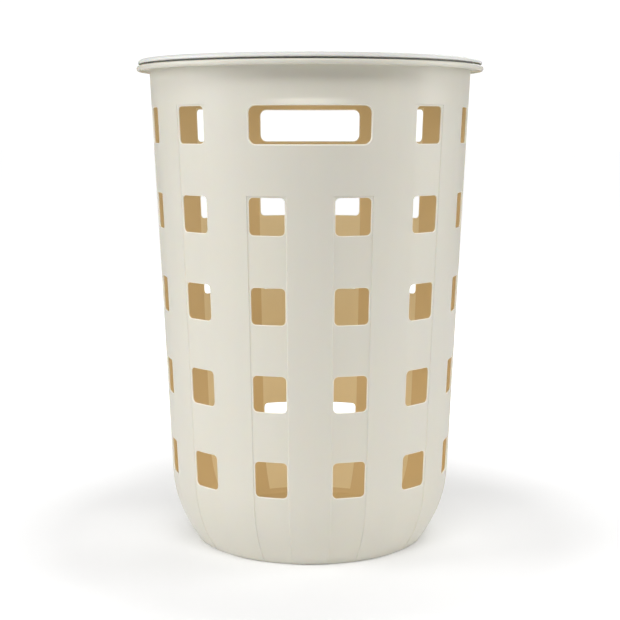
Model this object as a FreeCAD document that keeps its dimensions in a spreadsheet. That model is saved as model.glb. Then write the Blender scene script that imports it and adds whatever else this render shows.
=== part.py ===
import FreeCAD, Part
import math
import os
import Sketcher

# Round laundry hamper: a tapered, ventilated plastic basket with an out-turned rim and two
# hand slots, and a loose lid that drops into its mouth. The origin is the centre of the base
# at floor level, +Z is up and the front hand slot faces -Y. Millimetres and degrees.

VENT_ROWS = 5
SIDE_STARTS = (-45.0, 135.0)
SIDE_COLUMNS = 4
ALL_START = 15.0
ALL_COLUMNS = 12
HALF_TURN = 180.0
BELOW_FLOOR = 2.0

# Driving sizes, one spreadsheet row each: alias, value, what it is.
DRIVING = [
    ("base_radius", 137.0, "outer radius of the ring the basket stands on"),
    ("foot_width", 5.0, "width of the standing ring"),
    ("floor_lift", 5.0, "underside of the floor plate above the ground"),
    ("floor_radius", 138.6, "inner radius where the floor meets the corner"),
    ("corner_height", 82.0, "height at which the bottom corner runs into the wall"),
    ("wall_foot", 162.7, "outer wall radius, carried down to floor level"),
    ("wall_taper", 0.0443, "growth of the wall radius per unit of height"),
    ("wall", 2.6, "wall thickness"),
    ("rim_radius", 202.0, "outer radius of the rim"),
    ("rim_top", 559.2, "height of the rim's flat top"),
    ("rim_depth", 6.0, "height of the rim's turned-down edge"),
    ("rim_edge", 2.8, "thickness of the rim's turned-down edge"),
    ("rim_round", 1.3, "rounding of the rim's edge"),
    ("strip_depth", 0.8, "depth of the recessed strip round each vent column"),
    ("strip_margin", 1.5, "how far a strip starts above its topmost vent"),
    ("strip_angle", 13.8, "angle a recessed strip spans"),
    ("vent_half_angle", 6.35, "half the angle a vent spans"),
    ("vent_height", 40.2, "height of a vent, and of a hand slot"),
    ("vent_corner", 5.0, "corner radius of a vent"),
    ("top_row", 491.6, "centre height of the hand slots and of the top row of vents"),
    ("row_pitch", 96.8, "distance between rows of vents"),
    ("slot_width", 133.0, "width of a hand slot"),
    ("slot_corner", 8.0, "corner radius of a hand slot"),
    ("brow_reach", 4.0, "how far the brow over a hand slot stands out"),
    ("brow_half_span", 52.0, "half the width over which the brow fades into the wall"),
    ("brow_rise", 9.0, "height of the brow"),
    ("lid_radius", 200.5, "outer radius of the lid"),
    ("lid_top", 566.6, "height of the lid's raised border"),
    ("lid_edge_low", 561.2, "lower edge of the lid's turned-down border"),
    ("lid_wall", 2.4, "lid thickness"),
    ("lid_drop", 6.0, "depth of the sunken panel below the border"),
    ("lid_slope", 8.0, "radial width of the slope from border to panel"),
    ("lid_border", 26.0, "width of the lid's raised border"),
    ("lid_round", 4.4, "rounding of the lid's outer edge"),
    ("seat_gap", 0.3, "clearance between the lid's seat rib and the rim"),
    ("seat_radius", 190.0, "outer radius of the rib the lid sits on"),
    ("skirt_radius", 183.2, "outer radius of the skirt that centres the lid"),
    ("skirt_low", 548.0, "lower edge of the skirt"),
    ("grip_length", 112.0, "length of the lid's finger slot"),
    ("grip_width", 32.0, "width of the lid's finger slot"),
    ("grip_collar", 3.0, "width and rise of the collar round the finger slot"),
]


def make_sheet(doc):
    sheet = doc.addObject("Spreadsheet::Sheet", "Sizes")
    for row, (alias, value, note) in enumerate(DRIVING, start=1):
        sheet.set(f"A{row}", note)
        sheet.set(f"B{row}", str(value))
        sheet.setAlias(f"B{row}", alias)
    doc.recompute()
    return sheet


def sized(expression):
    """The same expression with every spreadsheet alias given its sheet's name."""
    aliases = {alias for alias, value, note in DRIVING}
    words = expression.replace("(", "( ").replace(")", " )").split(" ")
    return " ".join(f"Sizes.{word}" if word in aliases else word for word in words)


def number(expression):
    """What an expression in spreadsheet aliases is worth now."""
    result = FreeCAD.ActiveDocument.getObject("Sizes").evalExpression(sized(expression))
    return float(result)


def wall_radius(height):
    """Expression for the outer wall radius at a height."""
    return f"wall_foot + wall_taper * ( {height} )"


def new_body(doc, label):
    body = doc.addObject("PartDesign::Body", label)
    body.Label = label
    return body


def sketch_on(body, role, name, turn=0.0, height=None):
    """A sketch on one of the body's origin planes, turned about or raised along +Z."""
    plane = [item for item in body.Origin.OriginFeatures if item.Role == role][0]
    sketch = body.newObject("Sketcher::SketchObject", name)
    sketch.AttachmentSupport = (plane, [""])
    sketch.MapMode = "FlatFace"
    sketch.AttachmentOffset = FreeCAD.Placement(
        FreeCAD.Vector(0, 0, 0), FreeCAD.Rotation(FreeCAD.Vector(0, 1, 0), turn)
    )
    if height:
        sketch.setExpression("AttachmentOffset.Base.z", sized(height))
    return sketch


def bind(sketch, kind, arguments, expression):
    """Add a dimension to a sketch and tie it to the spreadsheet."""
    index = sketch.addConstraint(Sketcher.Constraint(kind, *arguments, number(expression)))
    sketch.setExpression(f"Constraints[{index}]", sized(expression))


def pin(sketch, edge, end, point):
    """Hold one end of an edge at a point given as a pair of expressions."""
    bind(sketch, "DistanceX", (-1, 1, edge, end), point[0])
    bind(sketch, "DistanceY", (-1, 1, edge, end), point[1])


def corner_arc(wall_end, foot, lean):
    """The arc that leaves the wall smoothly at wall_end and lands on foot."""
    inward = FreeCAD.Vector(-math.cos(lean), math.sin(lean), 0)
    chord = foot - wall_end
    radius = chord.dot(chord) / (2 * chord.dot(inward))
    centre = wall_end + inward * radius
    middle = (wall_end + foot) * 0.5 - centre
    return Part.Arc(wall_end, centre + middle.normalize() * radius, foot)


def draw_outline(sketch, points, curved=()):
    """A closed outline through points; the edges numbered in curved are corner arcs."""
    places = [FreeCAD.Vector(number(across), number(up), 0) for across, up in points]
    lean = math.atan(number("wall_taper"))
    for edge, start in enumerate(places):
        end = places[(edge + 1) % len(places)]
        if edge in curved:
            sketch.addGeometry(corner_arc(start, end, lean))
        else:
            sketch.addGeometry(Part.LineSegment(start, end))
    # An arc's own ends are numbered anticlockwise, so a corner arc runs from its foot.
    first = {edge: 2 if edge in curved else 1 for edge in range(len(places))}
    last = {edge: 1 if edge in curved else 2 for edge in range(len(places))}
    for edge in range(len(places)):
        after = (edge + 1) % len(places)
        joint = (edge, last[edge], after, first[after])
        smooth = after in curved
        sketch.addConstraint(Sketcher.Constraint("Tangent" if smooth else "Coincident", *joint))
        pin(sketch, edge, first[edge], points[edge])


def draw_window(sketch, middle, width, height, corner):
    """A rounded rectangle centred on the sketch's upright axis."""
    half, rise, radius = number(width) / 2, number(height) / 2, number(corner)
    level = number(middle)
    flat, upright = half - radius, rise - radius
    for quarter, (x_sign, y_sign) in enumerate(((1, -1), (1, 1), (-1, 1), (-1, -1))):
        hub = FreeCAD.Vector(x_sign * flat, level + y_sign * upright, 0)
        start = math.radians(90 * quarter - 90)
        circle = Part.Circle(hub, FreeCAD.Vector(0, 0, 1), radius)
        sketch.addGeometry(Part.ArcOfCircle(circle, start, start + math.pi / 2))
    corners = [sketch.Geometry[edge] for edge in range(4)]
    for edge in range(4):
        ends = corners[edge].EndPoint, corners[(edge + 1) % 4].StartPoint
        sketch.addGeometry(Part.LineSegment(*ends))
    for edge in range(4):
        after = (edge + 1) % 4
        direction = "Horizontal" if edge % 2 else "Vertical"
        sketch.addConstraint(Sketcher.Constraint("Tangent", edge, 2, edge + 4, 1))
        sketch.addConstraint(Sketcher.Constraint("Tangent", edge + 4, 2, after, 1))
        sketch.addConstraint(Sketcher.Constraint(direction, edge + 4))
    for edge in range(1, 4):
        sketch.addConstraint(Sketcher.Constraint("Equal", 0, edge))
    bind(sketch, "Radius", (0,), corner)
    bind(sketch, "DistanceX", (6, 1, 4, 2), width)
    bind(sketch, "DistanceY", (7, 1, 5, 1), height)
    bind(sketch, "DistanceX", (-1, 1, 4, 1), f"( {width} ) / 2")
    bind(sketch, "DistanceY", (-1, 1, 5, 1), f"{middle} + ( {height} ) / 2")


def volume(body):
    return 0.0 if body.Shape.isNull() else body.Shape.Volume


def grow(body, kind, name, sketch, expressions, cuts, **settings):
    """Add a feature, tie its sizes to the sheet and see that it changed the solid."""
    before = volume(body)
    feature = body.newObject(kind, name)
    feature.Profile = sketch
    for setting, value in settings.items():
        setattr(feature, setting, value)
    for target, expression in expressions.items():
        feature.setExpression(target, sized(expression))
    FreeCAD.ActiveDocument.recompute()
    change = volume(body) - before
    if (change < 0) != cuts or abs(change) < 1.0:
        raise RuntimeError(f"{name} changed the volume by {change}")
    return feature


def turned(body, kind, name, sketch, sweep, cuts, **settings):
    """Sweep a sketch round the upright axis."""
    axis = (sketch, ["V_Axis"])
    return grow(body, kind, name, sketch, {"Angle": sweep}, cuts, ReferenceAxis=axis, **settings)


def repeated(body, name, feature, copies, sweep):
    """Repeat a feature round the upright axis."""
    before = volume(body)
    upright = [item for item in body.Origin.OriginFeatures if item.Role == "Z_Axis"][0]
    pattern = body.newObject("PartDesign::PolarPattern", name)
    pattern.Originals = [feature]
    pattern.Axis = (upright, [""])
    pattern.Angle = sweep
    pattern.Occurrences = copies
    body.Tip = pattern
    FreeCAD.ActiveDocument.recompute()
    if volume(body) >= before:
        raise RuntimeError(f"{name} cut nothing")


def basket_blank(body):
    """The basket's outer form as a full solid, standing ring and rim included."""
    flange_low = "rim_top - wall"
    edge_low = "rim_top - rim_depth"
    sketch = sketch_on(body, "XZ_Plane", "OuterOutline")
    points = [
        ("0", "floor_lift"),
        ("base_radius - foot_width - floor_lift / 4", "floor_lift"),
        ("base_radius - foot_width", "0"),
        ("base_radius", "0"),
        (wall_radius("corner_height"), "corner_height"),
        (wall_radius(flange_low), flange_low),
        ("rim_radius - rim_edge", flange_low),
        ("rim_radius - rim_edge", edge_low),
        ("rim_radius", edge_low),
        ("rim_radius", "rim_top"),
        ("0", "rim_top"),
    ]
    draw_outline(sketch, points[::-1], curved=(6,))
    turned(body, "PartDesign::Revolution", "OuterForm", sketch, "360", cuts=False)


def add_brow(body, name, side):
    """The lip over a hand slot, where the wall leans out and fades away to both sides."""
    low = "( top_row + vent_height / 2 )"
    radius = f"( {wall_radius(low)} )"
    sag = f"( {radius} + brow_reach - sqrt( {radius} ^ 2 - brow_half_span ^ 2 ) )"
    arc = f"( ( brow_half_span ^ 2 + {sag} ^ 2 ) / ( 2 * {sag} ) )"
    cone = body.newObject("PartDesign::AdditiveCone", name)
    cone.setExpression("Radius1", sized(arc))
    cone.setExpression("Radius2", sized(f"{arc} - brow_reach"))
    cone.setExpression("Height", sized("brow_rise"))
    cone.setExpression("Placement.Base.y", sized(f"{side} * ( {radius} + brow_reach - {arc} )"))
    cone.setExpression("Placement.Base.z", sized(low))
    FreeCAD.ActiveDocument.recompute()


def hollow_out(body):
    """The inside of the basket: floor, bottom corner and wall."""
    sketch = sketch_on(body, "XZ_Plane", "InnerOutline")
    above = "rim_top + wall"
    points = [
        ("0", above),
        (f"{wall_radius(above)} - wall", above),
        (f"{wall_radius('corner_height')} - wall", "corner_height"),
        ("floor_radius", "floor_lift + wall"),
        ("0", "floor_lift + wall"),
    ]
    draw_outline(sketch, points, curved=(2,))
    turned(body, "PartDesign::Groove", "Inside", sketch, "360", cuts=True)


def cut_strip(body, name, top, bottom, start, copies, sweep):
    """The shallow recess that each vent column lies in, running down to the standing ring."""
    sketch = sketch_on(body, "XZ_Plane", f"{name}Outline", turn=start)
    inset = f"{wall_radius(top)} - strip_depth"
    if bottom is None:
        points = [
            ("rim_radius", top),
            (inset, top),
            (f"{wall_radius('corner_height')} - strip_depth", "corner_height"),
            ("base_radius - strip_depth", "0"),
            ("base_radius - strip_depth", f"0 - {BELOW_FLOOR}"),
            ("rim_radius", f"0 - {BELOW_FLOOR}"),
        ]
        draw_outline(sketch, points, curved=(2,))
    else:
        points = [
            ("rim_radius", top),
            (inset, top),
            (f"{wall_radius(bottom)} - strip_depth", bottom),
            ("rim_radius", bottom),
        ]
        draw_outline(sketch, points)
    groove = turned(
        body, "PartDesign::Groove", name, sketch, "strip_angle", cuts=True, Midplane=True
    )
    repeated(body, f"{name}s", groove, copies, sweep)


def cut_strips(body):
    side_top = "top_row + vent_height / 2 + strip_margin"
    next_top = "top_row - row_pitch + vent_height / 2 + strip_margin"
    cut_strip(body, "Strip", next_top, None, ALL_START, ALL_COLUMNS, 360.0)
    for side, start in zip(("Right", "Left"), SIDE_STARTS):
        cut_strip(body, f"{side}Top", side_top, next_top, start, SIDE_COLUMNS, 90.0)


def cut_vents(body):
    """Rows of vents; the top row leaves room for the hand slots."""
    for row in range(VENT_ROWS):
        level = f"top_row - {row} * row_pitch"
        width = f"2 * ( {wall_radius(level)} ) * sin( vent_half_angle * 1 deg )"
        groups = [("All", ALL_START, ALL_COLUMNS, 360.0)]
        if row == 0:
            groups = [(f"Side{start:.0f}", start, SIDE_COLUMNS, 90.0) for start in SIDE_STARTS]
        for group, start, copies, sweep in groups:
            name = f"Vent{row + 1}{group}".replace("-", "m")
            sketch = sketch_on(body, "YZ_Plane", f"{name}Outline", turn=start)
            draw_window(sketch, level, width, "vent_height", "vent_corner")
            reach = {"Length": "rim_radius"}
            pocket = grow(body, "PartDesign::Pocket", name, sketch, reach, True, Reversed=True)
            repeated(body, f"{name}Row", pocket, copies, sweep)


def cut_hand_slots(body):
    sketch = sketch_on(body, "XZ_Plane", "HandSlotOutline")
    draw_window(sketch, "top_row", "slot_width", "vent_height", "slot_corner")
    reach = {"Length": "2 * rim_radius"}
    grow(body, "PartDesign::Pocket", "HandSlots", sketch, reach, True, Midplane=True)


def edges_round_axis(shape, radius, height):
    """Names of the circular edges of one radius at one height."""
    names = []
    for index, edge in enumerate(shape.Edges, start=1):
        box = edge.BoundBox
        wide = abs(box.XMax - radius) < 0.01 and abs(box.ZMin - height) < 0.01
        if wide and box.ZLength < 0.01:
            names.append(f"Edge{index}")
    return names


def round_off(body, name, radius, places):
    """Round the circular edges found at each (radius, height)."""
    names = []
    for across, up in places:
        names += edges_round_axis(body.Shape, number(across), number(up))
    base = body.Tip
    fillet = body.newObject("PartDesign::Fillet", name)
    fillet.Base = (base, names)
    fillet.setExpression("Radius", sized(radius))
    FreeCAD.ActiveDocument.recompute()


def make_basket(doc):
    body = new_body(doc, "basket")
    basket_blank(body)
    rim_edges = [("rim_radius", "rim_top"), ("rim_radius", "rim_top - rim_depth")]
    round_off(body, "RimRound", "rim_round", rim_edges)
    add_brow(body, "FrontBrow", -1)
    add_brow(body, "BackBrow", 1)
    hollow_out(body)
    cut_strips(body)
    cut_vents(body)
    cut_hand_slots(body)
    return body


def make_lid(doc):
    """A loose lid: raised border, sunken panel, seat rib, centring skirt and finger slot."""
    body = new_body(doc, "lid")
    ceiling = "lid_top - lid_wall"
    panel_top = "lid_top - lid_drop"
    panel_low = "lid_top - lid_drop - lid_wall"
    border_inner = "lid_radius - lid_border"
    panel_radius = "lid_radius - lid_border - lid_slope"
    seat = "rim_top + seat_gap"
    sketch = sketch_on(body, "XZ_Plane", "LidOutline")
    points = [
        ("0", panel_top),
        ("0", panel_low),
        (panel_radius, panel_low),
        (f"{border_inner}", ceiling),
        ("skirt_radius - lid_wall", ceiling),
        ("skirt_radius - lid_wall", "skirt_low"),
        ("skirt_radius", "skirt_low"),
        ("skirt_radius", ceiling),
        ("seat_radius - lid_wall", ceiling),
        ("seat_radius - lid_wall", seat),
        ("seat_radius", seat),
        ("seat_radius", ceiling),
        ("lid_radius - lid_wall", ceiling),
        ("lid_radius - lid_wall", "lid_edge_low"),
        ("lid_radius", "lid_edge_low"),
        ("lid_radius", "lid_top"),
        (border_inner, "lid_top"),
        (panel_radius, panel_top),
    ]
    draw_outline(sketch, points)
    turned(body, "PartDesign::Revolution", "LidShell", sketch, "360", cuts=False)
    round_off(body, "LidRound", "lid_round", [("lid_radius", "lid_top")])
    collar = sketch_on(body, "XY_Plane", "CollarOutline", height=panel_low)
    collar_length, collar_width = "grip_length + 2 * grip_collar", "grip_width + 2 * grip_collar"
    draw_window(collar, "0", collar_length, collar_width, "( grip_width + 2 * grip_collar ) / 2.02")
    rise = {"Length": "lid_wall + grip_collar"}
    grow(body, "PartDesign::Pad", "GripCollar", collar, rise, False)
    slot = sketch_on(body, "XY_Plane", "GripOutline", height=panel_low)
    draw_window(slot, "0", "grip_length", "grip_width", "grip_width / 2.02")
    depth = {"Length": "3 * lid_drop"}
    grow(body, "PartDesign::Pocket", "GripSlot", slot, depth, True, Midplane=True)
    return body


def save(body):
    """Write one piece to its own file, once it is known to be sound."""
    if "Invalid" in body.State or not body.Shape.isValid() or len(body.Shape.Solids) != 1:
        raise RuntimeError(f"{body.Label} is not one valid solid")
    body.Shape.exportStep(os.path.join("parts", f"{body.Label}.step"))


def main():
    doc = FreeCAD.newDocument("LaundryHamper")
    make_sheet(doc)
    bodies = [make_basket(doc), make_lid(doc)]
    os.makedirs("parts", exist_ok=True)
    for body in bodies:
        save(body)


main()
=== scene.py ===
"""Round ventilated laundry hamper with a loose lid, in moulded cream plastic.

Every surface is built in millimetres on one idea: closed rings of points that all have the
same number of points, joined ring to ring, with rounded openings let into the wall.
"""

import math

import bpy
import numpy as np
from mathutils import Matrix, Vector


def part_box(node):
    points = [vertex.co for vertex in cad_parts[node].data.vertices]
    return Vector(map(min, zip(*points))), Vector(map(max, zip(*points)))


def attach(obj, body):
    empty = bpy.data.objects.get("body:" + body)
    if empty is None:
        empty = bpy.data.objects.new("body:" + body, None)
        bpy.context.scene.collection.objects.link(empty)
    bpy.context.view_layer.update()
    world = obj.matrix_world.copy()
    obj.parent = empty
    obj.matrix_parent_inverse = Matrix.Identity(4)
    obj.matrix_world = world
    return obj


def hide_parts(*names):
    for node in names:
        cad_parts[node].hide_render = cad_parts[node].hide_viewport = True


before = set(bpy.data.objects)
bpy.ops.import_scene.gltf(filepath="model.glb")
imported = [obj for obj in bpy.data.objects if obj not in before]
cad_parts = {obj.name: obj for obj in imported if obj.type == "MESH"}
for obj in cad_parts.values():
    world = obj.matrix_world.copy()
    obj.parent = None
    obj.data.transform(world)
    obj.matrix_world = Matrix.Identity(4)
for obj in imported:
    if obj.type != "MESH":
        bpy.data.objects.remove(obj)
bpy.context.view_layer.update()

MM = 0.001

# ---------------------------------------------------------------- sizes, in millimetres and degrees
# The wall is a straight cone over a rounded bottom corner; its radius at height z is
# WALL_FOOT + WALL_TAPER * z.
WALL = 2.6
WALL_FOOT = 162.7
WALL_TAPER = 0.0443
CORNER_HEIGHT = 82.0

# The floor and the standing ring under it. An arc may stop ARC_STOP degrees short of an
# upright face.
BASE_RADIUS = 137.0
FOOT_WIDTH = 5.0
FOOT_ROUND = 1.4
FOOT_INSIDE_LEAN = 1.2
FOOT_OUTSIDE_LEAN = 1.0
FOOT_OUTSIDE_TURN = 40
ARC_STOP = 10
FLOOR_LIFT = 5.0
FLOOR_RADIUS = 138.6
FLOOR_BEND = 4.0
FLOOR_BEND_RUN = 3.0
FLOOR_BEND_START = -40
UNDERSIDE_RINGS = (4.0, 30.0, 60.0, 90.0, 115.0, 128.0)
FLOOR_RINGS = (120.0, 90.0, 60.0, 30.0, 4.0)

# The rim turns outward as a flange and then down as a lip.
RIM_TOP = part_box("basket")[1].z / MM
RIM_RADIUS = 202.0
RIM_DEPTH = 6.0
RIM_EDGE = 2.8
RIM_NOSE = 2.6
FLANGE_LOW = RIM_TOP - WALL
FLANGE_ROUND = 3.0
CHANNEL_ROUND = 1.2
LIP_ROUND = 2.2
LIP_INNER_ROUND = 0.5
MOUTH_ROUND = 1.0
MOUTH_FLAT = 7.0

# The lid: a raised border, a slope down to a sunken panel, a turned-down edge and two ribs.
LID_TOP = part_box("lid")[1].z / MM
LID_RADIUS = 200.5
LID_WALL = 2.4
LID_EDGE_LOW = 561.2
LID_BORDER = 26.0
LID_BORDER_FLAT = 8.0
LID_NOSE = (7.0, 3.8)
LID_DROP = 6.0
CEILING = LID_TOP - LID_WALL
SLOPE_RUN = 8.0
SLOPE_ROUND = 3.2
SLOPE_TURN = 50.0
PANEL_TOP = LID_TOP - LID_DROP
PANEL_LOW = PANEL_TOP - LID_WALL
PANEL_RADIUS = LID_RADIUS - LID_BORDER - SLOPE_RUN
PANEL_SHARES = (0.15, 0.4, 0.7)
SEAT_GAP = 0.3
SEAT_RADIUS = 190.0
SKIRT_RADIUS = 183.2
SKIRT_LOW = 548.0
RIB_ROUND = 0.8

# The finger slot in the lid. GRIP_SPREAD spreads the grid's lines along its straight sides.
GRIP_LENGTH = 112.0
GRIP_WIDTH = 32.0
GRIP_COLLAR = 3.0
GRIP_SPREAD = 2.0
COLLAR_ROUND = 1.5
COLLAR_TURN = 70

# Columns of vents, 30 degrees apart, in five rows; row 0 is the top one.
COLUMNS = 12
COLUMN_PITCH = 30.0
FIRST_COLUMN = 15.0
ROWS = 5
TOP_ROW = 491.6
ROW_PITCH = 96.8
VENT_HEIGHT = 40.2
VENT_HALF_ANGLE = 6.35
VENT_CORNER = 5.0
EDGE_ROUND = 0.8

# The two hand slots take the place of two vents each in the top row.
SLOT_CENTRES = (90.0, 270.0)
SLOT_HALF_REACH = COLUMN_PITCH * 0.8
SLOT_WIDTH = 133.0
SLOT_CORNER = 8.0
SLOT_ROUND = 1.4
SLOT_FADE = 30.0

# A shallow strip is let into the wall round each column of vents. It ends above the top
# vent, or one row lower where a hand slot stands over the column.
STRIP_DEPTH = 0.8
STRIP_HALF_ANGLE = 6.85
STRIP_STEP_ANGLE = 0.25
STRIP_MARGIN = 1.5
STRIP_STEP = 0.4
STRIP_TOP_ROWS = (0, 1)

# The brow, a low swelling over each hand slot.
BROW_REACH = 4.0
BROW_HALF_SPAN = 52.0
BROW_RISE = 9.0
BROW_START = VENT_HEIGHT / 4

# ---------------------------------------------------------------- how finely things are cut
CORNER_STEPS = 3
SIDE_STRAIGHTS = 2
TOP_STRAIGHTS = 2
BAND_LINES = 5
STEP_LINES = 3
EDGE_STEPS = 4
ROW_GAP_LEVELS = 3
CORNER_LOW = 1.5
CORNER_LEVELS = 14
BROW_LEVELS = 6
TOP_LEVELS = 3
SIDE_INNER = 2 * CORNER_STEPS + SIDE_STRAIGHTS
TOP_INNER = 2 * CORNER_STEPS + TOP_STRAIGHTS
COLUMN_LINES = TOP_INNER + 2 + 2 * STEP_LINES + BAND_LINES
LINES = COLUMNS * COLUMN_LINES
# Judges a face a little past its first grid line, so that it counts to its own side of a step.
LINE_NUDGE = 0.04
CREASE_ANGLE = 30.0

# ---------------------------------------------------------------- how things look
# Places in the basket's list of materials; the last three hold painted shade, painted light and a
# painted highlight.
OUTSIDE, INSIDE_PAINTED_SHADE, THIN_INSIDE_PAINTED_LIGHT, HOLE_EDGE_PAINTED_HIGHLIGHT = 0, 1, 2, 3

# Name, colour, colour of the warmer clouds, roughness and share of scattered light. The inside
# colours are painted light and shade: a warm tan painted shade inside, paler painted light where
# the strips make the wall thin, and a paler painted highlight on the openings' edges.
BASKET_PLASTICS_AND_PAINTED_LIGHT = (
    ("basket_outer_plastic", (0.775, 0.755, 0.67), (0.79, 0.765, 0.66), 0.42, 0.2),
    # Painted shade: a warm tan inside, standing in for the light that comes through the wall.
    ("basket_inner_painted_shade", (0.77, 0.615, 0.36), (0.79, 0.625, 0.36), 0.5, 0.0),
    # Painted light: paler inside where the strips make the wall thin, for the light that comes
    # through it.
    ("basket_thin_inner_painted_light", (0.92, 0.81, 0.57), (0.93, 0.82, 0.57), 0.5, 0.0),
    # Painted highlight: a paler cream on the rounded edges of the openings.
    ("basket_hole_edge_painted_highlight", (0.95, 0.915, 0.81), (0.96, 0.92, 0.80), 0.4, 0.2),
)
# The lid is whiter than the basket's outside, and its colour is made paler still as painted light
# on its shaded face.
LID_PLASTICS = (("lid_plastic", (0.87, 0.87, 0.84), (0.88, 0.87, 0.83), 0.4, 0.2),)

# Textures are laid out in metres; a scale is roughly how many waves of noise fit in one metre.
CLOUD_SCALE = 6.0
STREAK_SCALE = 28.0
STREAK_STRETCH = (1.0, 1.0, 0.08)
STREAK_SHARE = 0.5
STREAK_SHADE = 0.965
GLOSS_SCALE = 18.0
GLOSS_RANGE = (-0.05, 0.07)
GRAIN_SCALE = 1400.0
GRAIN_DEPTH = 0.00003
SINK_SCALE = 22.0
SINK_DEPTH = 0.0006
SINK_STRENGTH = 0.5
PLASTIC_IOR = 1.49
SCATTER_COLOUR = (1.0, 0.62, 0.3)
SCATTER_REACH = 0.004

# ---------------------------------------------------------------- the picture, in metres
# The lens and the sensor are in millimetres, and the pitch is in degrees below level.
CAMERA_LENS = 76.5
CAMERA_SENSOR = 36.0
CAMERA_DISTANCE = 1.571
CAMERA_HEIGHT = 0.487
CAMERA_PITCH = 7.81

# How bright the white surroundings look, and how strongly they light the object.
WHITE = (1.0, 1.0, 1.0, 1.0)
WORLD_SEEN = 1.1
WORLD_STRENGTH = 0.17

# The floor's glow rises from the first strength to the second between two distances from
# the basket's axis.
FLOOR_SIZE = 30.0
FLOOR_WHITE = (0.9, 0.9, 0.905, 1.0)
FLOOR_ROUGHNESS = 0.9
FLOOR_SPECULAR = 0.1
FLOOR_GLOW = (0.14, 0.85)
FLOOR_GLOW_REACH = (0.3, 0.75)

# Name, place, target, size, power in watts and spread in degrees of each area light.
BASKET_MIDDLE = (0.0, 0.0, 0.3)
BASKET_FOOT = (0.0, 0.0, 0.02)
LIGHTS = (
    ("key", (-2.7, -0.5, 1.3), BASKET_MIDDLE, (1.4, 1.6), 37.0, 180.0),
    ("fill", (2.7, 0.1, 1.1), BASKET_MIDDLE, (1.2, 1.6), 28.0, 180.0),
    ("top", (0.0, -1.4, 2.1), BASKET_MIDDLE, (1.8, 0.9), 24.0, 180.0),
    ("back", (0.6, 2.3, 1.7), BASKET_MIDDLE, (2.2, 1.4), 22.0, 180.0),
    ("low", (0.0, -1.3, 0.25), BASKET_FOOT, (1.2, 0.3), 0.26, 50.0),
)

# Two round lights on the axis, inside the basket.
GLOW_HEIGHTS = (0.1, 0.44)
GLOW_RADIUS = 0.08
GLOW_POWER = 0.16
GLOW_COLOUR = (1.0, 0.96, 0.86)


def smoothstep(value):
    t = np.clip(value, 0.0, 1.0)
    return t * t * (3.0 - 2.0 * t)


# ---------------------------------------------------------------- the basket's wall
def corner_curve(top_radius, foot_radius, foot_height):
    """Radius against height on an arc that leaves the wall smoothly and lands on the foot."""
    lean = math.atan(WALL_TAPER)
    inward = np.array((-math.cos(lean), math.sin(lean)))
    top = np.array((top_radius, CORNER_HEIGHT))
    chord = np.array((foot_radius, foot_height)) - top
    bend = chord @ chord / (2 * chord @ inward)
    centre = top + inward * bend
    return lambda height: centre[0] + np.sqrt(bend**2 - (height - centre[1]) ** 2)


def wall_line(height):
    return WALL_FOOT + WALL_TAPER * height


OUTER_CORNER = corner_curve(wall_line(CORNER_HEIGHT), BASE_RADIUS, 0.0)
INNER_CORNER = corner_curve(wall_line(CORNER_HEIGHT) - WALL, FLOOR_RADIUS, FLOOR_LIFT + WALL)


def column_offset(angle):
    """Signed angle from the middle of the nearest vent column."""
    return (angle - FIRST_COLUMN + COLUMN_PITCH / 2) % COLUMN_PITCH - COLUMN_PITCH / 2


def under_slot(angle):
    """True for the vent columns that a hand slot stands over."""
    return np.abs(np.sin(np.radians(angle))) > math.cos(math.radians(SLOT_HALF_REACH))


def strip_recess(angle, height):
    """How deep the strip round a vent column is set into the wall."""
    beside = STRIP_HALF_ANGLE + STRIP_STEP_ANGLE - np.abs(column_offset(angle))
    topmost = np.where(under_slot(angle), TOP_ROW - ROW_PITCH, TOP_ROW)
    top = topmost + VENT_HEIGHT / 2 + STRIP_MARGIN + STRIP_STEP
    across = smoothstep(beside / STRIP_STEP_ANGLE)
    return STRIP_DEPTH * across * smoothstep((top - height) / STRIP_STEP)


def brow(angle, height):
    """How far the wall leans out over a hand slot."""
    top = TOP_ROW + VENT_HEIGHT / 2
    out = 0.0
    for centre in SLOT_CENTRES:
        across = ((angle - centre + 180.0) % 360.0 - 180.0) * math.radians(wall_line(top))
        out = out + np.clip(1.0 - (across / BROW_HALF_SPAN) ** 2, 0.0, 1.0)
    above = 1.0 - smoothstep((height - top) / BROW_RISE)
    return BROW_REACH * out * above * smoothstep((height - TOP_ROW) / BROW_START)


def outer_radius(angle, height):
    low = np.minimum(height, CORNER_HEIGHT)
    plain = np.where(height < CORNER_HEIGHT, OUTER_CORNER(low), wall_line(height))
    return plain - strip_recess(angle, height) + brow(angle, height)


def inner_radius(angle, height):
    low = np.clip(height, FLOOR_LIFT + WALL, CORNER_HEIGHT)
    plain = np.where(height < CORNER_HEIGHT, INNER_CORNER(low), wall_line(height) - WALL)
    return plain + brow(angle, height)


# ---------------------------------------------------------------- lines and levels of the wall grid
CORNER_TURNS = np.radians(45.0 * np.arange(CORNER_STEPS) / CORNER_STEPS)


def side_places(straight, straights):
    """One side of a rounded opening, from the middle of one corner to the middle of the next.

    Gives where each point stands before the corner's rounding, and how far round it is.
    """
    middle = np.linspace(-straight, straight, straights + 2)[1:-1]
    ends = np.full(CORNER_STEPS, straight)
    turns = np.concatenate((-CORNER_TURNS[::-1], np.zeros(straights), CORNER_TURNS))
    return np.concatenate((-ends, middle, ends)), turns


def side_positions(half, corner, straights):
    places, turns = side_places(half - corner, straights)
    return places + corner * np.sin(turns)


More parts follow.
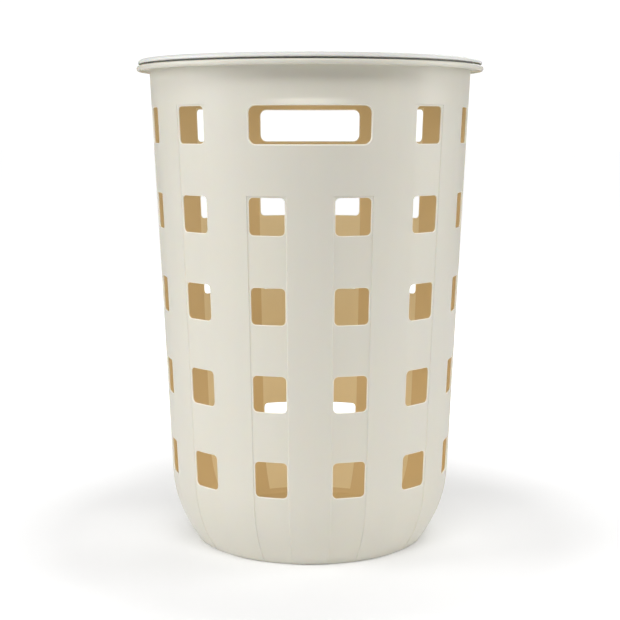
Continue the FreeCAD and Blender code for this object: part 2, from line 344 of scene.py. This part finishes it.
def line_angles():
    """The angle of every upright line of the grid, away from the hand slots."""
    middle_row = TOP_ROW - (ROWS // 2) * ROW_PITCH
    corner = math.degrees(VENT_CORNER / wall_line(middle_row))
    inner = side_positions(VENT_HALF_ANGLE, corner, TOP_STRAIGHTS)
    steps = STRIP_HALF_ANGLE + STRIP_STEP_ANGLE * np.arange(STEP_LINES + 1) / STEP_LINES
    band = np.linspace(steps[-1], COLUMN_PITCH - steps[-1], BAND_LINES + 2)[1:-1]
    column = np.concatenate((-steps[::-1], inner, steps, band))
    return np.concatenate([FIRST_COLUMN + COLUMN_PITCH * k + column for k in range(COLUMNS)])


def row_levels(row):
    """Heights of the grid's level lines round one row of openings, border to border."""
    side = side_positions(VENT_HEIGHT / 2, VENT_CORNER, SIDE_STRAIGHTS)
    border = VENT_HEIGHT / 2 + STRIP_MARGIN
    return np.concatenate(((-border,), side, (border,))) + TOP_ROW - row * ROW_PITCH


def wall_levels():
    """Heights of all the wall's level lines, and where each row of openings starts."""
    levels = list(np.linspace(CORNER_LOW, CORNER_HEIGHT - CORNER_LOW, CORNER_LEVELS))
    starts = {}
    for row in reversed(range(ROWS)):
        block = row_levels(row)
        if row < ROWS - 1:
            levels += list(np.linspace(levels[-1], block[0], ROW_GAP_LEVELS + 2)[1:-1])
        starts[row] = len(levels)
        levels += list(block)
        if row in STRIP_TOP_ROWS:
            levels += list(block[-1] + STRIP_STEP * np.arange(1, STEP_LINES + 1) / STEP_LINES)
    brow_top = TOP_ROW + VENT_HEIGHT / 2 + BROW_RISE
    levels += list(np.linspace(levels[-1], brow_top, BROW_LEVELS + 1)[1:])
    levels += list(np.linspace(brow_top, FLANGE_LOW - FLANGE_ROUND, TOP_LEVELS + 1)[1:])
    return np.array(levels), starts


BASE_LINES = line_angles()
LEVELS, ROW_STARTS = wall_levels()


def block_lines(first_column, columns=1):
    """The first and last grid line of the block that holds an opening."""
    start = first_column * COLUMN_LINES + STEP_LINES
    return start, start + (columns - 1) * COLUMN_LINES + TOP_INNER + 1


def slot_block(centre):
    """The first and last grid line of the two columns that a hand slot stands over."""
    first_angle = centre - COLUMN_PITCH / 2
    return block_lines(round((first_angle - FIRST_COLUMN) / COLUMN_PITCH), 2)


SLOT_BLOCKS = {centre: slot_block(centre) for centre in SLOT_CENTRES}


def slot_shifts():
    """How far each grid line moves sideways at the hand slots' height, to meet their outline."""
    shift = np.zeros(LINES)
    radius = wall_line(TOP_ROW)
    for centre, (first, last) in SLOT_BLOCKS.items():
        straights = last - first - 1 - 2 * CORNER_STEPS
        across = side_positions(SLOT_WIDTH / 2, SLOT_CORNER, straights)
        inside = slice(first + 1, last)
        shift[inside] = centre + np.degrees(across / radius) - BASE_LINES[inside]
    return shift


SLOT_SHIFTS = slot_shifts()


def angles_at(height):
    """The angles of all the grid's lines at one height."""
    half = VENT_HEIGHT / 2 + STRIP_MARGIN
    fade = ROW_PITCH - 2 * half - 2 * STRIP_MARGIN
    rise = smoothstep((height - (TOP_ROW - half - fade)) / fade)
    fall = smoothstep((TOP_ROW + half + SLOT_FADE - height) / SLOT_FADE)
    return BASE_LINES + SLOT_SHIFTS * min(rise, fall)


# ---------------------------------------------------------------- building surfaces from rings
class Surface:
    """Points, faces and creases of one piece, in millimetres.

    Each face has the number of its material.
    """

    def __init__(self):
        self.points = []
        self.faces = []
        self.materials = []
        self.creases = set()

    def ring(self, angle, radius, height):
        """A closed ring of points; any of the three may be one number for all."""
        turn, across, up = np.broadcast_arrays(np.radians(angle), radius, height)
        return self.loop(across * np.cos(turn), across * np.sin(turn), up)

    def loop(self, x, y, z):
        start = len(self.points)
        self.points.extend(np.stack(np.broadcast_arrays(x, y, z), axis=1).tolist())
        return np.arange(start, len(self.points))

    def wall_rings(self, radius_at, levels):
        """One ring of the wall's grid at each level, on the outer or the inner face."""
        rings = []
        for height in levels:
            angle = angles_at(height)
            rings.append(self.ring(angle, radius_at(angle, height), height))
        return rings

    def join(self, low, high, material=0, skip=frozenset()):
        """Quads between two loops; skip holds the places that an opening takes."""
        low_next, high_next = np.roll(low, -1), np.roll(high, -1)
        materials = np.broadcast_to(material, len(low))
        for place in range(len(low)):
            if place not in skip:
                corners = (low[place], low_next[place], high_next[place], high[place])
                self.face(corners, materials[place])

    def stack(self, rings, material=0):
        for low, high in zip(rings, rings[1:]):
            self.join(low, high, material)

    def face(self, corners, material=0):
        self.faces.append([int(corner) for corner in corners])
        self.materials.append(int(material))

    def crease(self, loop):
        """Make a closed line of points a crease, so that shading doesn't blend across it."""
        pairs = zip(loop.tolist(), np.roll(loop, -1).tolist())
        self.creases.update(frozenset(pair) for pair in pairs)

    def build(self, name, materials):
        mesh = bpy.data.meshes.new(name)
        points = [[value * MM for value in point] for point in self.points]
        mesh.from_pydata(points, [], self.faces)
        mesh.polygons.foreach_set("material_index", self.materials)
        mesh.polygons.foreach_set("use_smooth", [True] * len(self.faces))
        for material in materials:
            mesh.materials.append(material)
        mesh.validate()
        mesh.set_sharp_from_angle(angle=math.radians(CREASE_ANGLE))
        for edge in mesh.edges:
            if frozenset(edge.vertices) in self.creases:
                edge.use_edge_sharp = True
        piece = bpy.data.objects.new(name, mesh)
        bpy.context.scene.collection.objects.link(piece)
        return piece


def arc(centre, radius, start, end, steps):
    """Points (across, up) on an arc of a section, by angle in degrees."""
    x, y = centre
    turns = np.radians(np.linspace(start, end, steps + 1))
    return [(x + radius * math.cos(turn), y + radius * math.sin(turn)) for turn in turns]


def opening_loops(centre, middle, half_width, half_height, corner, straights, edge_round):
    """Loops through the wall round one opening, outside to inside, as arguments for ring()."""
    scale = math.degrees(1.0 / wall_line(middle))
    across_places, across_turns = side_places(half_width - corner, straights)
    up_places, up_turns = side_places(half_height - corner, SIDE_STRAIGHTS)
    diagonal = math.sqrt(0.5)

    def outline(spread):
        bend = corner + spread
        across = across_places + bend * np.sin(across_turns)
        rise = half_height - corner + bend * np.cos(across_turns)
        up = up_places + bend * np.sin(up_turns)
        reach = half_width - corner + bend * np.cos(up_turns)
        right = half_width - corner + bend * diagonal
        high = half_height - corner + bend * diagonal
        bottom_x, right_x = ((-right,), across), ((right,), reach)
        top_x, left_x = ((right,), across[::-1]), ((-right,), -reach)
        bottom_z, right_z = ((-high,), -rise), ((-high,), up)
        top_z, left_z = ((high,), rise), ((high,), up[::-1])
        x = np.concatenate(bottom_x + right_x + top_x + left_x)
        z = np.concatenate(bottom_z + right_z + top_z + left_z)
        return centre + x * scale, middle + z

    loops = []
    turns = np.radians(np.linspace(0.0, 90.0, EDGE_STEPS + 1))
    for surface, sign, order in ((outer_radius, -1, turns), (inner_radius, 1, turns[::-1])):
        for turn in order:
            angle, height = outline(edge_round * (1.0 - math.sin(turn)))
            depth = edge_round * (1.0 - math.cos(turn))
            loops.append((angle, surface(angle, height) + sign * depth, height))
    return loops


def border_loop(grid, first_line, last_line, first_level, last_level):
    """The grid's points round a block, in the same order as an opening's outline."""
    bottom = grid[first_level, first_line:last_line]
    right = grid[first_level:last_level, last_line]
    top = grid[last_level, last_line:first_line:-1]
    left = grid[last_level:first_level:-1, first_line]
    return np.concatenate((bottom, right, top, left))


# ---------------------------------------------------------------- the basket
def openings():
    """Every opening in the wall: its block of the grid, its outline and the material of the inside
    round it, which is painted light at the vents and painted shade at the hand slots.
    """
    found = []
    last_level = SIDE_INNER + 1
    for row in range(ROWS):
        middle = TOP_ROW - row * ROW_PITCH
        start = ROW_STARTS[row]
        half_width = math.radians(VENT_HALF_ANGLE) * wall_line(middle)
        for column in range(COLUMNS):
            centre = FIRST_COLUMN + column * COLUMN_PITCH
            if row == 0 and under_slot(centre):
                continue
            block = (*block_lines(column), start, start + last_level)
            shape = (half_width, VENT_HEIGHT / 2, VENT_CORNER, TOP_STRAIGHTS, EDGE_ROUND)
            # The inside round each vent takes the painted light.
            found.append((block, (centre, middle, *shape), THIN_INSIDE_PAINTED_LIGHT))
    for centre, (first, last) in SLOT_BLOCKS.items():
        straights = last - first - 1 - 2 * CORNER_STEPS
        block = (first, last, ROW_STARTS[0], ROW_STARTS[0] + last_level)
        shape = (SLOT_WIDTH / 2, VENT_HEIGHT / 2, SLOT_CORNER, straights, SLOT_ROUND)
        # The inside round a hand slot takes the painted shade.
        found.append((block, (centre, TOP_ROW, *shape), INSIDE_PAINTED_SHADE))
    return found


def skipped(blocks):
    """For each pair of levels, the grid places that openings take."""
    taken = {}
    for first_line, last_line, first_level, last_level in blocks:
        for level in range(first_level, last_level):
            taken.setdefault(level, set()).update(range(first_line, last_line))
    return taken


def foot_section():
    """The underside, from the middle out to the standing ring's rounded outer edge."""
    inner = BASE_RADIUS - FOOT_WIDTH
    plate = [(radius, FLOOR_LIFT) for radius in UNDERSIDE_RINGS]
    centre = (inner - FOOT_ROUND - FOOT_INSIDE_LEAN, FLOOR_LIFT - FOOT_ROUND)
    hollow = arc(centre, FOOT_ROUND, 90, ARC_STOP, steps=4)
    inside = arc((inner + FOOT_ROUND, FOOT_ROUND), FOOT_ROUND, 180 + ARC_STOP, 270, steps=4)
    centre = (BASE_RADIUS - 2 * FOOT_ROUND + FOOT_OUTSIDE_LEAN, FOOT_ROUND)
    outside = arc(centre, FOOT_ROUND, 270, 270 + FOOT_OUTSIDE_TURN, steps=3)
    return plate + hollow + inside + outside


def rim_section():
    """From the wall's outer face, round the turned-down edge, to the mouth's inner face."""
    wall = wall_line(FLANGE_LOW - FLANGE_ROUND)
    inside = RIM_RADIUS - RIM_EDGE
    low = RIM_TOP - RIM_DEPTH
    centre = (wall + FLANGE_ROUND, FLANGE_LOW - FLANGE_ROUND)
    under = arc(centre, FLANGE_ROUND, 180 - ARC_STOP, 90, steps=5)
    centre = (inside - CHANNEL_ROUND, FLANGE_LOW - CHANNEL_ROUND)
    channel = arc(centre, CHANNEL_ROUND, 90, 0, steps=3)
    centre = (inside + LIP_INNER_ROUND, low + LIP_INNER_ROUND)
    lip = arc(centre, LIP_INNER_ROUND, 180, 270, steps=3)
    lip += arc((RIM_RADIUS - LIP_ROUND, low + LIP_ROUND), LIP_ROUND, 270, 360, steps=5)
    nose = arc((RIM_RADIUS - RIM_NOSE, RIM_TOP - RIM_NOSE), RIM_NOSE, 0, 90, steps=6)
    mouth_radius = wall_line(RIM_TOP) - WALL
    flat = [(mouth_radius + MOUTH_FLAT, RIM_TOP)]
    centre = (mouth_radius + MOUTH_ROUND, RIM_TOP - MOUTH_ROUND)
    mouth = arc(centre, MOUTH_ROUND, 90, 180, steps=4)
    return under + channel + lip + nose + flat + mouth


def floor_section():
    """From the bottom corner's inner face to the middle of the floor."""
    top = FLOOR_LIFT + WALL
    centre = (FLOOR_RADIUS - FLOOR_BEND_RUN, top + FLOOR_BEND)
    bend = arc(centre, FLOOR_BEND, FLOOR_BEND_START, -90, steps=4)
    return bend + [(radius, top) for radius in FLOOR_RINGS]


def make_basket(materials):
    surface = Surface()
    under = [surface.ring(BASE_LINES, *point) for point in foot_section()]
    outer = surface.wall_rings(outer_radius, LEVELS)
    rim = [surface.ring(BASE_LINES, *point) for point in rim_section()]
    lowest = int(np.searchsorted(LEVELS, FLOOR_LIFT + WALL + FLOOR_BEND))
    inner = surface.wall_rings(inner_radius, LEVELS[lowest:])
    floor = [surface.ring(BASE_LINES, *point) for point in floor_section()]

    found = openings()
    taken = skipped([block for block, outline, around in found])
    for level in range(len(LEVELS) - 1):
        skip = taken.get(level, frozenset())
        surface.join(outer[level], outer[level + 1], OUTSIDE, skip)
        if level >= lowest:
            # Inside faces behind the strips get painted light in place of the painted shade.
            thin = strip_recess(BASE_LINES + LINE_NUDGE, LEVELS[level]) > STRIP_DEPTH / 2
            material = np.where(thin, THIN_INSIDE_PAINTED_LIGHT, INSIDE_PAINTED_SHADE)
            surface.join(inner[level + 1 - lowest], inner[level - lowest], material, skip)
    surface.stack(under + outer[:1])
    surface.stack(outer[-1:] + rim)
    # The mouth's inner face, the inside wall and the floor carry the painted shade.
    surface.stack([rim[-1], inner[-1]], INSIDE_PAINTED_SHADE)
    surface.stack(inner[:1] + floor, INSIDE_PAINTED_SHADE)
    surface.face(under[0][::-1])
    surface.face(floor[-1], INSIDE_PAINTED_SHADE)

    outer_grid = np.array(outer)
    inner_grid = np.full_like(outer_grid, -1)
    inner_grid[lowest:] = inner
    for block, outline, around in found:
        loops = [surface.ring(*loop) for loop in opening_loops(*outline)]
        surface.join(border_loop(outer_grid, *block), loops[0])
        # The openings' rounded edges carry the painted highlight.
        surface.stack(loops, HOLE_EDGE_PAINTED_HIGHLIGHT)
        surface.join(loops[-1], border_loop(inner_grid, *block), around)
        surface.crease(loops[0])
        surface.crease(loops[-1])
    return surface.build("basket_shell", materials)


# ---------------------------------------------------------------- the lid
def stadium(spread):
    """Outline of the finger slot, grown outward by spread, with one point per grid line."""
    bend = GRIP_WIDTH / 2 + spread
    run = GRIP_LENGTH / 2 - GRIP_WIDTH / 2
    turn = np.radians(BASE_LINES)
    side = np.where(np.cos(turn) >= 0, 1.0, -1.0)
    slide = side * run * np.minimum(1.0, np.abs(np.cos(turn)) * GRIP_SPREAD)
    return slide + bend * np.cos(turn), bend * np.sin(turn)


def panel_loop(surface, share, height):
    """A loop on the lid's panel, part of the way from the slot's collar to the round slope."""
    x, y = stadium(GRIP_COLLAR + COLLAR_ROUND)
    turn = np.radians(BASE_LINES)
    ring_x, ring_y = PANEL_RADIUS * np.cos(turn), PANEL_RADIUS * np.sin(turn)
    return surface.loop(x + (ring_x - x) * share, y + (ring_y - y) * share, height)


def slot_loops(surface):
    """The collar and the finger slot's own wall, from the panel's top to its underside."""
    top = PANEL_TOP + GRIP_COLLAR
    bend = GRIP_COLLAR / 2
    foot = GRIP_COLLAR + COLLAR_ROUND
    centre = (foot, PANEL_TOP + COLLAR_ROUND)
    section = arc(centre, COLLAR_ROUND, 270, 270 - COLLAR_TURN, steps=4)
    section += arc((bend, top - bend), bend, 0, 180, steps=8)
    section += arc((RIB_ROUND, PANEL_LOW + RIB_ROUND), RIB_ROUND, 180, 270, steps=3)
    section += [(foot, PANEL_LOW)]
    return [surface.loop(*stadium(spread), height) for spread, height in section]


def rib(outer, low):
    """A ring-shaped rib under the lid, as a section from its outer foot to its inner foot."""
    inner = outer - LID_WALL
    bend = LID_WALL / 2
    outer_foot = arc((outer + RIB_ROUND, CEILING - RIB_ROUND), RIB_ROUND, 90, 180, steps=3)
    tip = arc((outer - bend, low + bend), bend, 360, 180, steps=6)
    inner_foot = arc((inner - RIB_ROUND, CEILING - RIB_ROUND), RIB_ROUND, 0, 90, steps=3)
    return outer_foot + tip + inner_foot


def lid_section():
    """The lid from the panel's edge over the border, down its edge and back underneath."""
    border_inner = LID_RADIUS - LID_BORDER
    slope_foot = 270 + SLOPE_TURN
    slope_head = 90 + SLOPE_TURN
    top = [(PANEL_RADIUS, PANEL_TOP)]
    centre = (PANEL_RADIUS, PANEL_TOP + SLOPE_ROUND)
    top += arc(centre, SLOPE_ROUND, 270, slope_foot, steps=5)[1:]
    centre = (border_inner, LID_TOP - SLOPE_ROUND)
    top += arc(centre, SLOPE_ROUND, slope_head, 90, steps=5)
    top += [(border_inner + LID_BORDER_FLAT, LID_TOP)]
    # A quarter of a unit circle, stretched to the nose's run and drop.
    nose_run, nose_drop = LID_NOSE
    for across, up in arc((0.0, 0.0), 1.0, 90, 0, steps=8):
        top.append((LID_RADIUS + (across - 1.0) * nose_run, LID_TOP + (up - 1.0) * nose_drop))
    bend = LID_WALL / 2
    edge = arc((LID_RADIUS - bend, LID_EDGE_LOW + bend), bend, 360, 180, steps=6)
    inside = LID_RADIUS - LID_WALL
    edge += arc((inside - RIB_ROUND, CEILING - RIB_ROUND), RIB_ROUND, 0, 90, steps=3)
    under = rib(SEAT_RADIUS, RIM_TOP + SEAT_GAP) + rib(SKIRT_RADIUS, SKIRT_LOW)
    centre = (border_inner, CEILING - SLOPE_ROUND)
    back = arc(centre, SLOPE_ROUND, 90, slope_head, steps=5)
    centre = (PANEL_RADIUS, PANEL_LOW + SLOPE_ROUND)
    back += arc(centre, SLOPE_ROUND, slope_foot, 270, steps=5)
    return top + edge + under + back


def make_lid(materials):
    surface = Surface()
    panel = [panel_loop(surface, share, PANEL_TOP) for share in PANEL_SHARES]
    outside = [surface.ring(BASE_LINES, *point) for point in lid_section()]
    back = [panel_loop(surface, share, PANEL_LOW) for share in PANEL_SHARES[::-1]]
    slot = slot_loops(surface)
    # Read backwards, so that every face looks out of the plastic.
    surface.stack(([slot[0]] + panel + outside + back + [slot[-1]])[::-1])
    surface.stack(slot)
    return surface.build("lid_shell", materials)


# ---------------------------------------------------------------- materials
class Nodes:
    """A material's node tree, with short calls for adding and joining nodes."""

    def __init__(self, name):
        self.material = bpy.data.materials.new(name)
        self.material.use_nodes = True
        self.tree = self.material.node_tree
        self.shader = self.tree.nodes["Principled BSDF"]
        self.place = self.add("ShaderNodeTexCoord").outputs["Object"]

    def add(self, kind, **settings):
        node = self.tree.nodes.new(kind)
        for name, value in settings.items():
            setattr(node, name, value)
        return node

    def join(self, source, target):
        self.tree.links.new(source, target)

    def noise(self, scale, detail=3.0, stretch=(1.0, 1.0, 1.0)):
        mapping = self.add("ShaderNodeMapping")
        mapping.inputs["Scale"].default_value = stretch
        self.join(self.place, mapping.inputs["Vector"])
        node = self.add("ShaderNodeTexNoise")
        node.inputs["Scale"].default_value = scale
        node.inputs["Detail"].default_value = detail
        self.join(mapping.outputs["Vector"], node.inputs["Vector"])
        return node.outputs["Fac"]

    def spread(self, value, low, high, source=(0.3, 0.7)):
        """Map a texture's middle range on to low..high."""
        node = self.add("ShaderNodeMapRange")
        node.inputs["From Min"].default_value = source[0]
        node.inputs["From Max"].default_value = source[1]
        node.inputs["To Min"].default_value = low
        node.inputs["To Max"].default_value = high
        self.join(value, node.inputs["Value"])
        return node.outputs["Result"]

    def blend(self, share, first, second):
        """Mix two colours; each is either a socket or a colour of three numbers."""
        node = self.add("ShaderNodeMix", data_type="RGBA")
        self.join(share, node.inputs["Factor"])
        for value, socket in ((first, node.inputs["A"]), (second, node.inputs["B"])):
            if isinstance(value, bpy.types.NodeSocket):
                self.join(value, socket)
            else:
                socket.default_value = (*value, 1.0)
        return node.outputs["Result"]

    def bump(self, height, distance, normal=None, strength=1.0):
        node = self.add("ShaderNodeBump")
        node.inputs["Distance"].default_value = distance
        node.inputs["Strength"].default_value = strength
        self.join(height, node.inputs["Height"])
        if normal is not None:
            self.join(normal, node.inputs["Normal"])
        return node.outputs["Normal"]


def plastic(name, colour, warm, roughness, scatter):
    """Satin moulded plastic: cloudy colour, uneven gloss, a fine grain and faint sink marks."""
    nodes = Nodes(name)
    cloud = nodes.spread(nodes.noise(CLOUD_SCALE), 0.0, 1.0)
    streak = nodes.noise(STREAK_SCALE, detail=2.0, stretch=STREAK_STRETCH)
    streak = nodes.spread(streak, 0.0, STREAK_SHARE)
    tint = nodes.blend(cloud, colour, warm)
    tint = nodes.blend(streak, tint, [value * STREAK_SHADE for value in colour])
    nodes.join(tint, nodes.shader.inputs["Base Color"])
    glossiest, dullest = (roughness + change for change in GLOSS_RANGE)
    gloss = nodes.spread(nodes.noise(GLOSS_SCALE, detail=4.0), glossiest, dullest)
    nodes.join(gloss, nodes.shader.inputs["Roughness"])
    grain = nodes.bump(nodes.noise(GRAIN_SCALE, detail=2.0), GRAIN_DEPTH)
    sink = nodes.bump(nodes.noise(SINK_SCALE, detail=1.0), SINK_DEPTH, grain, SINK_STRENGTH)
    nodes.join(sink, nodes.shader.inputs["Normal"])
    nodes.shader.inputs["IOR"].default_value = PLASTIC_IOR
    nodes.shader.inputs["Subsurface Weight"].default_value = scatter
    nodes.shader.inputs["Subsurface Radius"].default_value = SCATTER_COLOUR
    nodes.shader.inputs["Subsurface Scale"].default_value = SCATTER_REACH
    return nodes.material


# ---------------------------------------------------------------- the studio
def make_floor():
    """A wide white floor, which runs out into the white surroundings.

    Its glow grows away from the basket and is seen by the camera alone, so that the floor turns
    white without lighting the basket or hiding its soft shadow.
    """
    mesh = bpy.data.meshes.new("studio_floor")
    corners = ((-1, -1), (1, -1), (1, 1), (-1, 1))
    points = [(x * FLOOR_SIZE, y * FLOOR_SIZE, 0.0) for x, y in corners]
    mesh.from_pydata(points, [], [(0, 1, 2, 3)])
    floor = bpy.data.objects.new("studio_floor", mesh)
    bpy.context.scene.collection.objects.link(floor)
    nodes = Nodes("floor_white")
    nodes.shader.inputs["Base Color"].default_value = FLOOR_WHITE
    nodes.shader.inputs["Roughness"].default_value = FLOOR_ROUGHNESS
    nodes.shader.inputs["Specular IOR Level"].default_value = FLOOR_SPECULAR
    nodes.shader.inputs["Emission Color"].default_value = WHITE
    distance = nodes.add("ShaderNodeVectorMath", operation="LENGTH")
    nodes.join(nodes.place, distance.inputs[0])
    glow = nodes.spread(distance.outputs["Value"], *FLOOR_GLOW, FLOOR_GLOW_REACH)
    seen = nodes.add("ShaderNodeMath", operation="MULTIPLY")
    nodes.join(glow, seen.inputs[0])
    nodes.join(nodes.add("ShaderNodeLightPath").outputs["Is Camera Ray"], seen.inputs[1])
    nodes.join(seen.outputs["Value"], nodes.shader.inputs["Emission Strength"])
    mesh.materials.append(nodes.material)


def make_light(name, place, target, size, power, spread):
    """An area light that faces its target and isn't seen by the camera."""
    data = bpy.data.lights.new(name, "AREA")
    data.shape = "RECTANGLE"
    data.size, data.size_y = size
    data.energy = power
    data.spread = math.radians(spread)
    light = bpy.data.objects.new(name, data)
    light.location = place
    light.visible_camera = False
    direction = np.array(target) - np.array(place)
    flat = math.hypot(direction[0], direction[1])
    tilt = math.atan2(flat, -direction[2])
    turn = math.atan2(-direction[0], direction[1])
    light.rotation_euler = (tilt, 0.0, turn)
    bpy.context.scene.collection.objects.link(light)


def make_glow(height):
    """A soft light on the axis, for the daylight that the real thin wall lets inside."""
    data = bpy.data.lights.new("inside_glow", "POINT")
    data.shadow_soft_size = GLOW_RADIUS
    data.energy = GLOW_POWER
    data.color = GLOW_COLOUR
    light = bpy.data.objects.new("inside_glow", data)
    light.location = (0.0, 0.0, height)
    light.visible_camera = False
    light.visible_glossy = False
    bpy.context.scene.collection.objects.link(light)


def make_world():
    """Even white surroundings, seen brighter than they shine on the object."""
    world = bpy.data.worlds.new("studio")
    world.use_nodes = True
    tree = world.node_tree
    background = tree.nodes["Background"]
    background.inputs["Color"].default_value = WHITE
    path = tree.nodes.new("ShaderNodeLightPath")
    level = tree.nodes.new("ShaderNodeMapRange")
    level.inputs["To Min"].default_value = WORLD_STRENGTH
    level.inputs["To Max"].default_value = WORLD_SEEN
    tree.links.new(path.outputs["Is Camera Ray"], level.inputs["Value"])
    tree.links.new(level.outputs["Result"], background.inputs["Strength"])
    bpy.context.scene.world = world


def make_camera():
    data = bpy.data.cameras.new("camera")
    data.lens = CAMERA_LENS
    data.sensor_width = CAMERA_SENSOR
    camera = bpy.data.objects.new("camera", data)
    camera.location = (0.0, -CAMERA_DISTANCE, CAMERA_HEIGHT)
    camera.rotation_euler = (math.radians(90.0 - CAMERA_PITCH), 0.0, 0.0)
    bpy.context.scene.collection.objects.link(camera)
    bpy.context.scene.camera = camera


make_camera()
make_world()
make_floor()
for light in LIGHTS:
    make_light(*light)
for height in GLOW_HEIGHTS:
    make_glow(height)

basket_materials = [plastic(*look) for look in BASKET_PLASTICS_AND_PAINTED_LIGHT]
lid_materials = [plastic(*look) for look in LID_PLASTICS]

basket = make_basket(basket_materials)
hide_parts("basket")
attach(basket, "basket")

lid = make_lid(lid_materials)
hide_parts("lid")
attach(lid, "lid")

bpy.context.scene.view_settings.view_transform = "Standard"
